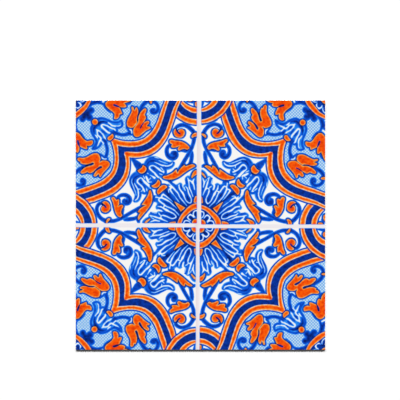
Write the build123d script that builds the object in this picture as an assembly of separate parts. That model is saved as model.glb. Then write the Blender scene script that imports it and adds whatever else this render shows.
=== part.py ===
from build123d import *
import os

# A self-adhesive vinyl tile: one square sheet, die-cut from printed film that
# comes with its adhesive and its backing paper already laminated together.
# Millimetres. The sheet lies flat on its backing with the printed face up,
# and the origin is at the middle of the backing.

# Driving dimensions
tile_side = 152.4        # cut edge to cut edge, the 6 inch size
sheet_thickness = 0.35   # printed film, adhesive and backing paper together
corner_radius = 0.4      # the smallest round that a steel-rule die leaves
die_roll_radius = 0.1    # printed edge pressed over by the die as it enters


def cut_outline():
    """The outline that the die cuts: a square with slightly rounded corners."""
    with BuildSketch(Plane.XY) as outline:
        RectangleRounded(tile_side, tile_side, corner_radius)
    return outline.sketch


def vinyl_tile():
    """The sheet, with its printed edge rolled over all round."""
    sheet = extrude(cut_outline(), amount=sheet_thickness, dir=(0, 0, 1))
    printed_face = sheet.faces().sort_by(Axis.Z)[-1]
    return fillet(printed_face.edges(), die_roll_radius)


os.makedirs("parts", exist_ok=True)
export_step(vinyl_tile(), "parts/vinyl_tile.step")
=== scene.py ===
import bpy
import numpy as np
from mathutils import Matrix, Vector, geometry


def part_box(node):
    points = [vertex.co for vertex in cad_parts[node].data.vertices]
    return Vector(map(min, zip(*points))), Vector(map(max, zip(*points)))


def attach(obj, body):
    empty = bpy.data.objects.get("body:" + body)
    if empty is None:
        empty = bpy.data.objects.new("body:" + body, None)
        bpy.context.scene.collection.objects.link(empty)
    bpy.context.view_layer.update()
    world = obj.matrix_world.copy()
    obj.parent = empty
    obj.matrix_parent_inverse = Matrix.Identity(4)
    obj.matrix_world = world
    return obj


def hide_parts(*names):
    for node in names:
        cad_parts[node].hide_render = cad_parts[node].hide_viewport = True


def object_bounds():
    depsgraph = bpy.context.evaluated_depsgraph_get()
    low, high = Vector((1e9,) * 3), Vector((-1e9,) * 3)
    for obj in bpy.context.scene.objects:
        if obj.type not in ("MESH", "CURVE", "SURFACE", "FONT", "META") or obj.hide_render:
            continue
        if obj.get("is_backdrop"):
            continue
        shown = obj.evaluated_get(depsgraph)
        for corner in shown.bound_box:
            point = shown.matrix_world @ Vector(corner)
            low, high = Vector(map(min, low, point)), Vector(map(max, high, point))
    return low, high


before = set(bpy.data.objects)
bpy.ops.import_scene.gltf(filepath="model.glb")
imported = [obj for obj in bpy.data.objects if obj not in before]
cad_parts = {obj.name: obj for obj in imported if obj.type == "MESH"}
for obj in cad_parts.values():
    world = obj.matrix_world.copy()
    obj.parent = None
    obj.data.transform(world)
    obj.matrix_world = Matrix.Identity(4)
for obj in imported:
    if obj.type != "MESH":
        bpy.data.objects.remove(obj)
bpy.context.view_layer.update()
tileLow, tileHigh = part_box("vinyl_tile")
scene = bpy.context.scene
scene.view_settings.view_transform = "Standard"
metres = 0.001  # the drawing is in millimetres


def linear(hexColour):
    channels = [int(hexColour[i:i + 2], 16) / 255 for i in (1, 3, 5)]
    return [c / 12.92 if c <= 0.04045 else ((c + 0.055) / 1.055) ** 2.4 for c in channels] + [1]


# the sheet as it is cut; its side and thickness come from the vinyl_tile part in model.glb
tileSheet = {
    "side": (tileHigh.x - tileLow.x) / metres,
    "thickness": (tileHigh.z - tileLow.z) / metres,
    "cornerRadius": 0.4,
    "dieRoll": 0.1,       # printed edge pressed over by the die
    "rollSteps": 2,
    "paperHeight": 0.12,  # backing paper seen at the cut edge, the film above it
    "edgeStep": 1.0,      # longest edge along the outline
}

# where the four painted tiles of the print lie: inner corner, then the way that u and v run
tileCopies = [
    {"corner": (0.5, 0.9), "u": (1, 0), "v": (0, 1)},
    {"corner": (-2.75, 1.1), "u": (0, 1), "v": (-1, 0)},
    {"corner": (-2.9, -2.0), "u": (-1, 0), "v": (0, -1)},
    {"corner": (0.0, -2.0), "u": (0, -1), "v": (1, 0)},
]

# how the brush left its ink, depths in mm from the edge of the shape
brushwork = {
    "bodyDepths": (-0.6, -0.4, -0.12, 0.3, 0.75, 1.5),  # azure halo outside, deepest ink inside
    "bodyInk": (0, 0.28, 0.48, 0.66, 0.82, 0.92),
    "washDepths": (-0.5, -0.1, 0.35, 0.95),
    "washBody": (0, 0.45, 0.75, 1),
    "deepDepths": (-0.2, 0.25, 0.9),
    "deepInk": (0.5, 0.67, 0.92),
    "bareDepths": (-0.42, 0.3),              # over these a bare line runs out into the ink
    "bareInk": 0.03,                         # share of the ink left on the bare glaze
    "lineDepths": (-1.17, -0.88, -0.5),      # the blue line beside a band
    "lineInk": (0, 0.42, 0.82),
    "edgeSoft": 0.17,                        # half the width over which an orange edge fades
    "paleWashInk": 0.42,
    "heartRadii": (11, 16, 24),              # the sunburst darkens towards its rosette
    "heartInk": (0.92, 0.72, 0.57),
    "navyInk": 0.87,
    "slitInk": 0.93,
    "rosetteInk": 0.85,
    "paleSpread": 1.08,                      # the bare glaze lines spread by this much
    "outline": 0.74,                         # cobalt line round an orange shape
    "rimDepths": (-0.8, -0.45),              # the line is darkest where it meets the orange
    "rimInk": (0.5, 0.97),
    "motifTone": (0.32, 0.92, 0.95),         # orange: tone at the rim, full tone, depth of the full tone
    "ringTone": (0.25, 0.92, 0.95),
    "bandTone": (0, 0.9, 0.95),
    "toneCurve": 1.6,                        # above 1 the paler rim reaches further in
    "orangeInset": 0.06,                     # the orange stops this far inside its outline
    "mitreLift": 0.6,                        # keeps the band's pale rim off its own corner
    "ringEdge": 0.6,
    "tileEdge": (0.02, -0.48),               # where the print of one tile stops, in u and in v
    "tileFade": 0.35,
    "jointTone": 0.5,                        # printed joint between the tiles
    "jointEdgeTone": 0.72,
    "jointEdge": (-3.5, -1.6),               # x from and to, the pinker left edge of the upright joint
    "curveStep": 0.12,
    "sagitta": 0.045,                        # how far an edge may cut inside its curve
    "longestEdge": 3.0,
    "roundEnd": 0.4,                         # a stroke end of a smaller radius gets fewer points
    "middleLine": 0.3,                       # a stroke this much wider than its guides gets a middle line
}


def flip(points):
    return [(p[1], p[0], *p[2:]) for p in points]


# cobalt washes: closed outlines, a third number marks a sharp corner
sunburstHalf = [
    (-1, 10, 1), (-1, 33.2, 1), (0.5, 32.9), (2, 32.1), (3.2, 30.6), (3.9, 28.9, 1), (5, 29), (6.2, 28.2),
    (6.8, 26.9), (6.5, 25.3), (6.1, 23.9, 1), (6.9, 23.6), (7.6, 22.7), (7.5, 21.5), (6.9, 20.4, 1),
    (7.8, 20.9), (8.3, 21.8), (8.5, 22.8), (8.5, 23.9), (9.2, 24.6), (10, 24.7), (10.8, 24.2),
    (11.6, 23.7, 1), (12.7, 24.2), (13.3, 25.2), (13.8, 26.5, 1), (16.8, 26.5, 1), (16.9, 24.5),
    (17.6, 22.5, 1)]
lilyWash = [
    (12.7, 37.6), (13.6, 38.4), (14.6, 38), (16, 37.5), (18, 37.6), (20, 38.6), (22, 39.8), (24, 40.6),
    (26, 40.8), (28, 40.4), (29.8, 39.3), (31.2, 37.6), (31.9, 36.2, 1), (34, 34, 1), (36.2, 31.9, 1),
    (37.7, 31.3), (39.3, 30.1), (40.4, 28.5), (40.9, 26.5), (40.7, 24.5), (39.9, 22.5), (39, 20.7),
    (38.2, 18.8), (37.6, 17), (37.4, 15.8), (37.8, 14.5), (37.4, 13.4), (36.3, 12.9), (35.2, 13.4),
    (33.8, 14.5), (33, 16), (32.6, 17.4), (32.5, 18.6, 1), (31.2, 18), (29.8, 18.6, 1), (28.2, 21),
    (27.4, 22.5), (26.6, 23.8), (25, 24.5), (23.5, 25.5), (22.7, 27.3), (22, 28.2), (20.6, 28.5),
    (18.9, 29.2, 1), (17.7, 30.3), (17.5, 31.5), (17.9, 32.6), (18.2, 33.3, 1), (17, 33.3), (15.3, 33.7),
    (13.8, 34.6), (12.8, 35.9)]
cone = [
    (32.9, 36.1), (34.2, 37.1), (36.5, 38.3), (38.5, 39.3), (40.3, 40.6, 1), (39.4, 38.2), (38.4, 36.3),
    (37.2, 34.3), (36, 33.1, 1), (35, 32.9), (33.8, 33.8), (33, 35)]
washes = [sunburstHalf + flip(sunburstHalf)[::-1], lilyWash]
fields = [cone]

# deep strokes inside the washes, (u, v, width)
deepLines = [
    # sunburst, upper half
    [(5.4, 10.6, 1.6), (7.5, 11.4, 2.4), (10.5, 13, 2.6), (14, 14.8, 3), (17, 16.8, 3.6),
     (19.8, 18.6, 3.2)],
    [(3.9, 13.3, 1.4), (4.5, 14.8, 2.4), (5.1, 16, 2), (5.6, 17.2, 1)],
    [(6.2, 21.6, 1), (6.2, 19.6, 1.5), (5.8, 18, 1.2)],
    [(1.6, 12.6, 1), (1.9, 14.6, 1.3), (2.3, 16.6, 1), (2.9, 18.6, .8)],
    [(5.6, 11.8, .8), (6.8, 13.4, 1.1), (7.8, 15, 1), (8.6, 16.6, .8)],
    [(7.6, 11.9, .8), (9.2, 13.6, 1.2), (10.6, 15.4, 1.6), (11.8, 17, 2.2), (12.8, 18.6, 1.6),
     (13.4, 20, .9)],
    [(12.4, 13.6, .7), (14, 15.4, 1), (15.4, 17, 1), (16.3, 18.6, .7)],
    [(8.6, 23.4, .8), (8.7, 21.8, 1.2), (9, 20.8, .7)], [(11, 23.2, .8), (11.1, 21.4, 1.1), (11, 20.4, .6)],
    [(6.4, 27.4, 1), (6.2, 25.2, 1.1), (5.6, 23.4, .9)], [(.6, 24.4, .7), (.7, 22, 1.1), (.9, 20, .8)],
    [(16.8, 23.4, .8), (17.2, 21.8, 1)], [(13.6, 25.4, 1), (15.4, 25.8, 1.4), (16.6, 25.4, 1)],
    # sunburst, lower half
    [(12.2, 1.9, 1.4), (14, 1.8, 1.6), (17, 1.2, 1.4), (20, 1.9, 1), (22, 2.6, .6)],
    [(13.2, 4.1, 1.4), (14.6, 4.6, 2.2), (16.2, 5.3, 1.9), (18, 6, 1)],
    [(11, 7.2, 1.4), (12.4, 8.7, 1.5), (14.2, 10.4, 1.4), (16.4, 12, 1.3), (18.6, 13.4, 1.2),
     (20.4, 14.4, .7)],
    [(11.4, 5, .8), (12.6, 6.2, 1.1), (14.4, 7.6, 1.3), (16.2, 8.8, 1), (18, 9.4, .7)],
    [(19.6, 8.2, .8), (21.2, 8.9, 1.3), (22.8, 9.3, 1)], [(18.8, 5.9, .8), (20.4, 6.1, 1), (21.4, 6.4, .6)],
    [(23.8, 5.6, .9), (25.4, 5.9, 1.2), (27.2, 5.9, .8)],
    [(20.6, 11.6, .8), (22, 12.4, 1.2), (23.4, 13.2, .8)],
    [(18, 3, .6), (19.6, 3.9, .8), (20.8, 4.4, .5)], [(22.6, 3, .7), (24, 3.1, .9)],
    [(24.6, 14.6, .9), (25.6, 15.8, 1.4), (25.8, 16.8, 1)],
    # inner lily
    [(20, 36.6, .8), (22.4, 37.2, 1.3), (24, 38, 1.5), (26.2, 38.3, 1.9), (27.8, 37.3, 1.9),
     (28.7, 35.8, 1.4), (29.2, 34.2, 1)],
    [(13.4, 37.6, 1), (15, 36.9, 1), (17, 36.6, .9), (19, 37.4, 1), (21.4, 38.8, 1.1), (24, 39.9, 1),
     (26.4, 40.1, 1.1), (28.6, 39.2, 1.1), (30.2, 37.4, 1.2)],
    [(14.6, 35, .8), (16.4, 34.3, 1), (18.2, 34.2, 1), (19.8, 34.4, .7)],
    [(24.6, 33.2, 1.4), (25.6, 34, 1.8), (26.3, 34.4, 1.2)],
    [(21.4, 34.2, 1), (22.4, 35.2, 1.4), (23.4, 36, 1)],
    [(20, 33.8, .6), (20.8, 33.4, .9)], [(20.6, 30.8, .6), (22, 31.3, 1), (23.4, 32.2, .8)],
    [(23.5, 27.4, .9), (24.1, 26.1, 1.6), (25.2, 25.2, 1.5), (26.2, 25, .8)],
    [(29.8, 34.4, 1), (30, 32.4, 1.6), (30.8, 30.8, 1.8), (32.4, 29.8, 1.8), (34.2, 29.7, 1.4),
     (35.4, 30.6, 1)],
    [(36.6, 21.8, .8), (37.2, 23.6, 1.3), (38.1, 26, 1.9), (37.9, 27.8, 1.9), (37, 29.2, 1.5),
     (35.4, 29.8, 1.1)],
    [(37, 13.6, 1), (36.6, 15.4, 1), (36.5, 17.4, .9), (37.2, 19.4, 1), (38.6, 21.8, 1), (39.7, 24.2, 1),
     (40, 26.6, 1.1), (39.2, 28.8, 1.1), (37.4, 30.4, 1.2)],
    [(34.8, 14.8, .8), (34.1, 16.6, 1), (34, 18.4, 1), (34.2, 20, .7)],
    [(32.8, 25, 1.4), (33.6, 25.9, 1.8), (34.1, 26.8, 1.2)],
    [(34.2, 21.6, 1), (35, 22.6, 1.3), (35.7, 23.6, .9)],
    [(30.8, 20.8, .6), (31.3, 22.2, 1), (32.2, 23.6, .8)], [(27.8, 28, .8), (28.6, 29, 1)],
]

# bare glaze lines left in the washes, (u, v, width)
paleLines = [
    [(4.8, 28.2, .4), (4.3, 26.4, .5), (3.7, 24.5, .8), (3.2, 22.9, .7), (2.9, 21.5, 1.1), (2.1, 20.1, .6),
     (1.5, 18.6, .4), (.9, 17.2, .3)],
    [(4.6, 27.9, .3), (3.3, 27, .3), (2.6, 25.7, .3)],
    [(.6, 28.4, .4), (1.2, 26.7, .5), (1.8, 25.1, .9), (1.5, 23.8, .6), (1.2, 22.2, .4)],
    [(3.2, 21.4, .5), (4.2, 21.4, .5), (4.8, 20.6, .5), (4.6, 19.2, .8), (4.2, 18, .6), (3.7, 17, .5),
     (3.1, 15.8, .5), (2.8, 14.6, .6), (3, 13.3, .6), (3.8, 12.2, .7), (4.7, 12.5, .5), (5.6, 13.3, .5),
     (6.4, 14.7, .7), (6.9, 16, .6), (7.4, 16.9, .8), (8, 18, 1.3), (8.6, 19.1, .9), (9.4, 20.3, .6),
     (10, 21.3, .7), (10.2, 22.4, .5), (10.3, 23.2, .3)],
    [(4.6, 21.4, .4), (5.4, 22.3, .5), (6.1, 22.7, .4)],
    [(8.9, 19.9, .4), (9.8, 19.7, .5), (10.8, 19.2, .8), (10.2, 18, .5), (9.8, 17, .6), (9.4, 15.9, .5),
     (8.8, 14.7, .5), (8.1, 13.5, .7), (7.3, 12.6, .4), (6.2, 11.5, .4), (4.9, 10.4, .3)],
    [(10.7, 19.2, .6), (11.4, 19.4, .7), (12, 20.3, .7), (12.8, 21.4, .7), (13.5, 22.3, .8),
     (14.3, 22.8, .7), (15.1, 22.3, .5)],
    [(15.9, 24.6, .6), (15.8, 23.6, .5), (15.4, 22.4, .6), (15.6, 21.2, .9), (15.1, 19.9, .8),
     (14.5, 18.5, .9), (13.9, 17.5, .6), (13.2, 16.2, .5), (12.2, 15, .5), (11, 13.8, .6), (10.3, 13, .4),
     (9, 11.8, .3)],
    [(15.7, 21, .7), (16.8, 20.8, .7), (17.6, 20.2, 1), (17, 19, .7), (16.1, 17.8, .6), (15, 16.4, .5),
     (14.2, 15.4, .4), (13, 14.2, .3)],
    [(8.1, 23.2, 1), (7.8, 21.9, .8), (7.2, 20.7, .4)],
    # inner lily
    [(14, 37.2, .5), (14.8, 36, .6), (16.4, 35.2, .7), (18.2, 35.1, .7), (19.8, 35.3, .6), (21, 35.7, .5),
     (22.3, 36.5, .6), (23.6, 37.3, .5), (24.4, 37.6, .3)],
    [(17, 36.6, .2), (19, 37, .3), (21, 37.8, .35), (22.6, 38.3, .35), (24, 38.9, .4), (25.2, 39.3, .3),
     (27, 39, .2)],
    [(19, 31.3, .7), (20.5, 31.9, .9), (22, 32.6, .8), (23.2, 33.7, .7), (24.1, 34.9, .7), (25.2, 35.8, .8),
     (26.3, 35.7, .8), (27.3, 34.7, .5), (27.7, 33.6, .5), (27, 32.6, .7), (26, 32, 1), (25, 31.1, 1.3),
     (24, 30, 1.3), (23.1, 29, 1.3), (22.4, 28.5, .9)],
    [(20.9, 35.2, .3), (20.8, 34.2, .4)], [(19.6, 29.7, .5), (20.3, 30, .7), (21.2, 30.3, .3)],
    [(24.9, 29, .8), (26, 29.4, 1.1), (27.2, 29.9, 1.2), (28.4, 30.5, .9)],
    [(25.2, 27.2, .4), (25.1, 28.2, .4)],
    [(27.2, 31.3, .5), (28.2, 31.8, .4), (28.9, 32.2, .3)], [(26.6, 28.6, .3), (27.6, 27.8, .4)],
    [(27.7, 25.3, 1.2), (28.4, 26.3, .7), (29, 27.3, .3), (29.5, 28.2, .15)],
    [(30.2, 29.2, .4), (30.6, 29.8, .3)],
    [(27.9, 22.6, .6), (28.5, 23.5, .9), (29.5, 24.4, 1), (30.7, 25.3, .8), (31.6, 26.4, .7),
     (32.6, 27.6, .8), (33.6, 28.4, .8), (34.6, 28.2, .6), (35.1, 27.3, .5), (35.2, 26.2, .5),
     (34.7, 25, .6), (33.8, 23.7, .8), (32.9, 22.6, 1), (32.1, 21.7, .9), (31.6, 20.8, .6),
     (31.2, 19.9, .6)],
    [(30.6, 19.6, .5), (31.3, 19.5, .7), (32, 19.8, .4)],
    [(29.5, 20.5, .4), (30, 21.7, .5), (30.2, 22.2, .3)],
    [(36.9, 14.4, .4), (35.8, 15, .6), (35.2, 16.3, .6), (34.9, 17.6, .6), (35, 19, .7), (35.3, 20.5, .7),
     (35.7, 21.7, .6), (36.3, 23, .5), (36.9, 24.2, .4), (37.3, 25.2, .3)],
    [(36.4, 17.4, .2), (37, 19.4, .3), (37.8, 21.4, .3), (38.5, 22.8, .2)],
    [(32.6, 20.3, .4), (33.4, 20.9, .5), (34, 21.5, .4)],
    # middle rosette
    [(-.5, 7.5, .6), (.7, 7.3, .7), (1.5, 6.6, .7), (1.6, 5.6, .7), (1.2, 4.4, .6), (.2, 3.4, .5)],
    [(7.8, -.5, .7), (7.5, .8, .7), (6.6, 1.5, .7), (5.4, 1.7, .7), (4.2, 1.2, .6), (3.4, .3, .5)],
    [(1.5, 3.1, .5), (2.5, 4.4, .7), (3.6, 5.1, .9), (4.6, 4.6, .8), (5.3, 3.5, .9), (4.6, 2.3, .7),
     (3.2, 1.1, .5)],
    # sunburst, lower half
    [(22.6, 16.3, .5), (21.8, 15.3, 1.1), (20.8, 15.7, .8), (19.4, 15.2, .7), (18.2, 14.3, .5),
     (17, 13.3, .1), (15.6, 12.3, .3), (14.2, 11.3, .4), (12.8, 10.2, .3)],
    [(24.7, 16.9, .5), (23.5, 15.7, .5), (22.2, 14.6, .9), (21, 13.3, .8), (19.8, 12.3, .7),
     (18.7, 11.3, .7), (17.3, 10.5, .5), (16, 10, .5), (15, 9.2, .5), (13.8, 8.2, .6), (12.5, 7.1, .4),
     (10.8, 5.7, .3)],
    [(23.4, 10.4, .6), (22, 10.3, .6), (20.8, 9.9, .7), (19.6, 9, .8), (18.3, 8, 1), (17, 7.4, .9),
     (15.5, 6.9, .5), (14, 6.2, .5), (12.9, 5.2, .5), (12.3, 4, .5), (12.6, 3.1, .6), (13.8, 2.8, .5),
     (15.5, 3.1, .5), (17, 3.9, .7), (18.7, 4.6, .7), (20.3, 4.9, .7), (21.5, 5.4, .6), (22.3, 6.2, .4)],
    [(21.9, 7.2, .3), (20, 6.5, .3)],
    [(16.3, 1.9, .4), (17.8, 2.4, .4), (19.3, 2.9, .5), (20.6, 3.6, .6), (21.6, 4, .8), (23, 4.2, .5),
     (24.6, 4.3, .6), (26, 4.5, .7), (27.5, 5, .4)],
    [(20.5, .9, .4), (22.3, 1.1, .6), (24, 1.6, .8), (25, 2.1, 1.3), (26, 1.7, .7), (27.4, 1.1, .5)],
    [(25, 2.2, .9), (25.6, 3.1, .6), (26.2, 3.8, .5)],
    [(18.8, 16.6, .4), (19.8, 16.8, .5), (20.8, 16.4, .4)],
]

# corner lily, on the stippled ground
paleWashes = [
    [(45, 62.2), (45.6, 63.6), (46.8, 63.1), (48.2, 62), (50, 61.6), (51.4, 62), (53, 63.4), (55.3, 64.4),
     (57.8, 64.6), (60, 63.5), (61.8, 61.8), (63.5, 60), (64.6, 57.8), (64.4, 55.3), (63.4, 53), (62.4, 51),
     (62.2, 49), (62.6, 47), (63.2, 45.6), (62.2, 44.9), (60.6, 44.7), (59, 45.4), (58.2, 47), (58, 48.6),
     (56.6, 48.3), (55.6, 48.6), (54.4, 50), (52.5, 52.5), (50, 54.4), (48.6, 55.6), (48.2, 56.8),
     (47.2, 58.4), (45.8, 60)],
]
deepLines += [
    [(54.4, 61.9, .8), (56, 62.4, 1.5), (57.8, 62.4, 2.2), (59.2, 61.4, 2.4), (60, 60.2, 2)],
    [(61.6, 54.4, 1.2), (62, 56, 1.9), (61.9, 57.8, 2.4), (61.2, 59, 2.4), (60.2, 59.7, 2)],
    [(53.4, 57.6, 1), (54.4, 58.5, 1.7), (55.2, 59.2, 1)],
    [(56.8, 53.4, 1), (57.7, 54.4, 1.4), (58.8, 56, .9)],
    [(59.2, 52.4, .7), (59.9, 53.3, 1.1)], [(54.4, 49.4, 1.4), (55, 50.6, 1.6), (55.8, 51.8, 1)],
    [(49.4, 54.6, 1.2), (50.4, 55.6, 1.6), (51.2, 56.8, 1)],
    [(54.6, 55, .9), (55.6, 56.2, 1.2), (56.6, 57.6, .9)],
    [(51.6, 59.2, .7), (52.4, 59.6, .9)],
    [(46.4, 61.2, .9), (48, 60.3, 1.2), (50, 60.6, 1.1), (51.4, 61.2, .8)],
]
paleLines += [
    [(46.6, 60.4, .4), (47.6, 60, .5), (49, 59.4, .6), (50.3, 58.7, .8), (51.5, 58, .8), (52.7, 58.8, .7),
     (53.6, 59.9, .7), (55, 60.3, .6), (56.4, 60.3, .7), (57.3, 60.8, .4)],
    [(52.2, 60.1, .6), (53.2, 61, .8), (54, 62.2, .5)],
    [(56.8, 60.2, .6), (56.4, 59.2, .7), (55.6, 58.2, .5), (54.5, 57.3, .4)],
    [(48.5, 56.3, .5), (49.6, 57.4, .7), (50.8, 58, .6)],
    [(51.3, 54.9, .5), (52.4, 55.9, .7), (53.6, 56.5, .6), (54.6, 57, .4)],
    [(54.9, 52.4, .8), (55.5, 53.8, .9), (56.7, 55.2, .8), (57.8, 56.5, .9), (58.9, 57.6, 1),
     (59.8, 57.7, .8), (60.3, 56.8, .7), (59.9, 55.3, .6), (59.3, 53.8, .7), (58.5, 52.5, .8),
     (57.8, 51.2, .7), (57.5, 50.2, .6), (56.8, 49.2, .5), (56, 48.8, .3)],
    [(61.4, 53.5, .5), (60.5, 52.3, .5), (59.7, 51.4, .7), (59.4, 50, .7), (59.2, 48.5, .6), (59.3, 47, .6),
     (60, 45.9, .5)],
    [(62.9, 58.6, .2), (63, 56.6, .3), (62.6, 54.6, .3), (61.8, 52.8, .3)],
    [(61.2, 49.6, .6), (61, 48, .7), (61.2, 46.4, .5)],
    [(50.4, 62.1, .2), (52.6, 63, .3), (54.8, 63.6, .2)],
    # corner rosette
    [(70.7, 73.3, .4), (70.3, 72.2, .8), (70.8, 70.9, .9), (72, 70.3, 1), (73.2, 70.9, .9), (73.8, 72, .5)],
    [(67, 76.5, .8), (68, 75, .6), (69.4, 74.2, .6), (70.6, 74.2, .4)],
    [(76.5, 67, .8), (75, 68, .6), (74.2, 69.4, .6), (74.2, 70.6, .4)],
]
cornerField = [
    (64, 78, 1), (65.5, 75.4), (67, 73), (68.6, 71), (70.3, 69.2), (72.3, 67.7), (75, 66.2), (78, 65, 1),
    (78, 78, 1)]
centreField = [
    (-1, 9, 1), (0, 9), (2.5, 8.2), (4.7, 6.8), (6.4, 5), (7.8, 2.7), (8.7, 0), (8.8, -1, 1), (-1, -1, 1)]
washes += [centreField]
fields += [cornerField]

# brush strokes in cobalt, (u, v, width)
brushLines = [
    # stems and scrolls, upper half
    [(2, 43.7, .9), (2.2, 42.6, 1.7), (2.4, 41, 2), (2.7, 38.6, 1.9), (3.1, 37, 1.7), (3.6, 35.4, 2)],
    [(.9, 53.6, 1.6), (1.2, 52, 2), (1.4, 50, 1.8), (2, 48, 1.7), (2.8, 46, 1.7), (3.9, 44, 1.7),
     (5.1, 42, 1.7), (6.3, 40, 1.7), (7.4, 38, 1.8), (8.5, 36, 1.8), (9.6, 34.2, 1.5), (10.4, 32.6, .8)],
    [(.8, 35, 1.4), (2, 35.6, 1.4)],
    [(1.6, 55.6, 2.1), (2.4, 57.2, 1.9), (3.9, 58.9, 1.9), (5.8, 60.1, 1.9), (8, 60.6, 1.9),
     (10.2, 60.2, 1.9), (11.8, 59, 2), (12.2, 57.8, 1.4), (11.5, 56.7, .9)],
    [(14.6, 48.7, .8), (16, 47.5, 1.4), (17, 46, 1.7), (17.3, 44.2, 1.9), (16.8, 42.2, 2.2),
     (15.5, 40.8, 2.4), (13.9, 40.5, 2.4), (12.5, 41.3, 2.3), (12, 42.6, 2), (12.5, 44, 1.6),
     (13.6, 44.3, 1.4), (14.3, 43.6, 1.2)],
    # stems and scrolls, lower half
    *map(flip, [
        [(2.3, 43.4, .8), (2.5, 41.5, 1.8), (2.8, 39, 1.9), (3.2, 37, 2), (4, 35.4, 2.2)],
        [(.9, 53, 1.8), (1.3, 50.5, 1.9), (1.9, 48, 1.8), (3, 45.2, 1.8), (4.4, 42.6, 1.8),
         (6.2, 39.6, 1.9), (8, 36.6, 1.9), (9.6, 34, 1.7), (11, 31.4, 1)],
        [(1.3, 55.4, 2.2), (2.2, 56.6, 2.2), (3.6, 57.9, 2.1), (5.4, 59.2, 2), (7.2, 59.9, 2),
         (9.2, 59.9, 2), (11, 59.2, 2), (12.1, 58.1, 1.6), (12, 57, .8)],
        [(15.2, 48.4, .9), (16.6, 47.4, 1.5), (17.7, 45.6, 1.9), (17.9, 43.6, 2.1), (17.1, 41.3, 2.4),
         (15.2, 39.9, 2.6), (13.2, 40, 2.5), (12, 41.3, 2.3), (12.1, 42.7, 2), (13.1, 43.6, 1.8),
         (14.3, 43.2, 1.6), (15, 42.4, 1)],
    ]),
    # small stem of the inner lily
    [(19.2, 34, .9), (18.5, 32.8, .6), (18.2, 31.5, .8), (18.5, 30.3, 1.1), (18.8, 29.2, 1.2)],
    [(34, 19.5, 1.2), (32.8, 18.8, 1), (31.4, 18.5, .9), (30.2, 18.7, 1.1), (29.4, 19.6, 1.2)],
    # stalks and scrolls of the tulips
    [(28.6, 75, 2), (30.8, 73.6, 2.2), (32.3, 72, 2.1), (33.4, 70.3, 2), (34.3, 68.6, 1.7), (35, 66.6, .9)],
    [(27.4, 75, 1.9), (25.5, 74.8, 1.9), (23.8, 73.3, 1.9), (23.1, 71.3, 2), (23.3, 69.6, 2),
     (24.6, 68.3, 2.2), (26.2, 68.4, 2), (26.9, 69.4, 1.7), (26.2, 70.2, 1.3)],
    [(39.2, 54, 1), (40.5, 55, 1.6), (42.5, 54.4, 1.7), (45, 54.2, 1.7), (47.5, 54.7, 1.8),
     (49.5, 55.5, 1.9), (50.9, 56.6, 1.4)],
    [(40, 55.6, 1.4), (40.8, 57, 1.2), (42, 58.4, .9)],
    *map(flip, [
        [(28.6, 74.9, 2.1), (30.8, 73.9, 2.2), (32.4, 72.3, 2.1), (33.5, 70.4, 2), (34.2, 68.4, 1.6),
         (34.8, 66.5, .8)],
        [(27.2, 74.4, 1.8), (25.3, 74, 1.8), (23.9, 72.7, 1.8), (23.2, 71, 1.8), (23.3, 69.3, 2),
         (24.3, 68, 2.1), (25.8, 67.5, 2.2), (27.1, 68.1, 2), (27.3, 69, 1.6), (26.5, 69.6, 1.2)],
        [(39.5, 54.3, 1.2), (40.8, 54.8, 2.1), (43, 54.1, 1.8), (46, 54.1, 1.7), (48.5, 54.9, 1.9),
         (50.3, 56, 1.9)],
        [(40.3, 55.8, 1.4), (41.2, 57, 1.2), (42.4, 58.4, .9)],
    ]),
    # round the corner rosette
    [(57.6, 76.5, 2), (59.2, 74.9, 2.4), (61.5, 74.1, 2.6), (63.8, 73.2, 2.2), (65.3, 71.4, 1.2)],
    [(56, 71.8, .7), (56.8, 72.9, 1.1), (58, 73.4, 1.4), (60, 74, 2)],
    [(71.6, 65, 1.2), (73.2, 63.6, 2.2), (74, 61.5, 2.7), (74.8, 59.2, 2.4), (76.5, 57.6, 2)],
    [(71.8, 56, .7), (72.8, 56.8, 1.1), (73.4, 58, 1.4), (74, 60, 2)],
    [(67.6, 52.2, .5), (69.2, 54.2, .7), (70.8, 55.6, .8), (72.4, 56.2, .8)],
    [(52.2, 68.2, .5), (54.2, 69.6, .7), (55.6, 71, .8), (56.1, 72.4, .8)],
    [(64.2, 69, 3.2), (66.4, 67.3, 5), (68.8, 65, 3.2)], [(64.6, 64.8, 3.6), (67.2, 68.4, 5)],
    # petals of the corner lily
    [(45.4, 63.1, 1.1), (46.6, 62.3, 1.4), (48.2, 61.2, 1.2), (50, 60.8, 1.1), (51.6, 61.4, 1.1),
     (53.4, 62.6, 1.1), (55.4, 63.6, 1.1), (57.6, 64, 1.2), (59.4, 63.3, 1.3), (60.4, 62.5, 1.3)],
    [(45.3, 62.6, .8), (45.8, 60.6, .9), (47, 59, .9), (48.6, 57.8, .8), (50, 57.4, .6)],
    [(63.3, 60.4, 1.3), (64, 58.2, 1.2), (63.7, 55.8, 1.1), (62.7, 53.4, 1.1), (61.8, 51.4, 1.1),
     (61.5, 49.2, 1.1), (61.8, 47.2, 1.1), (62.7, 45.7, .9)],
    [(58.4, 48.6, .8), (58.3, 47, .9), (59, 45.5, .9), (60.6, 44.9, .9), (62.2, 45.4, .9)],
]
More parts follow.
